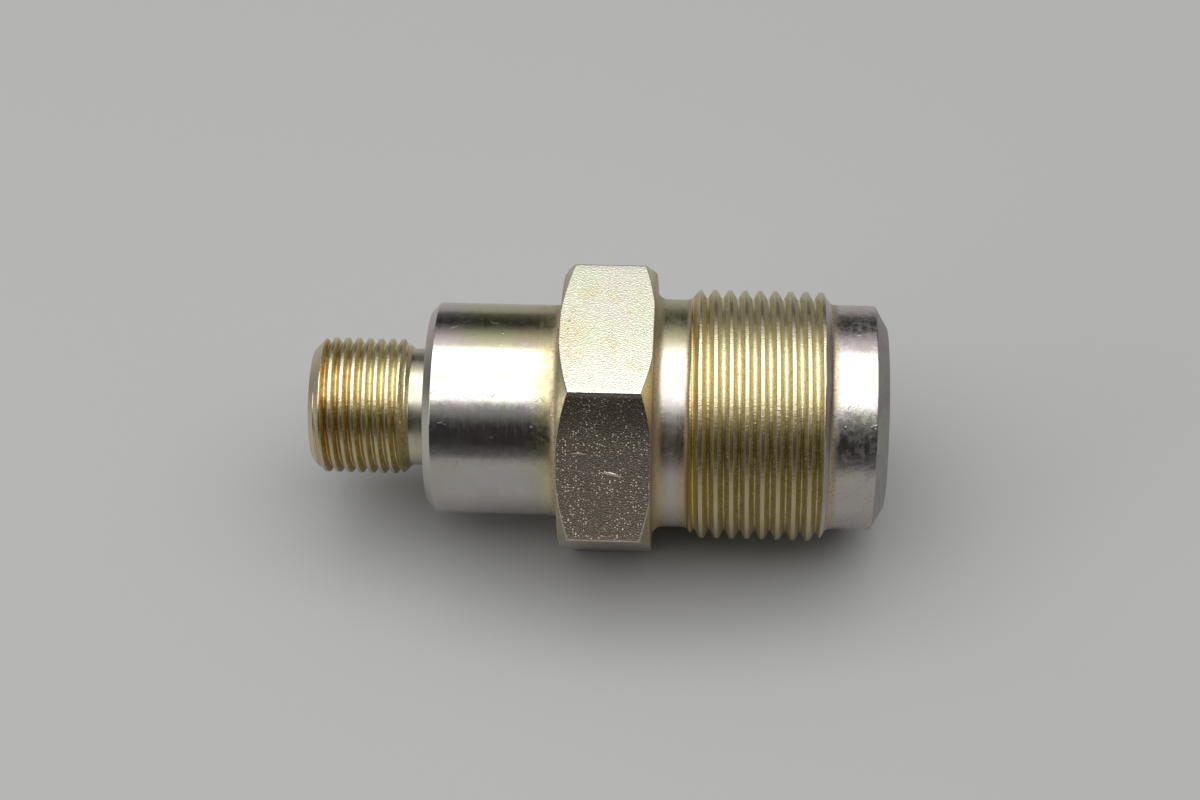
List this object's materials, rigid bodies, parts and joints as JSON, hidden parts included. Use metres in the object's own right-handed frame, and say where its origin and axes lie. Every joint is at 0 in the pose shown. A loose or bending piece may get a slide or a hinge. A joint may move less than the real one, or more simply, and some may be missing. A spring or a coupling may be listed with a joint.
{
  "type": "pipe connector",
  "caption": "Straight male-to-male hydraulic pipe connector: two fine threads of unequal size, round shoulder, spanner hexagon, plain neck and nose, stepped through-bore.",
  "frame": {"origin": "on the axis, at the middle of the hexagon's width", "axes": "+X along the axis towards the large thread, +Z square to a flat of the hexagon, so that the opposite flat lies on the table"},
  "size_m": [0.0757, 0.0416, 0.036],
  "materials": {
    "plated_steel": "zinc plating with a pale yellow passivation"
  },
  "bodies": {
    "root": {"connector_body": "plated_steel"}
  },
  "joints": []
}
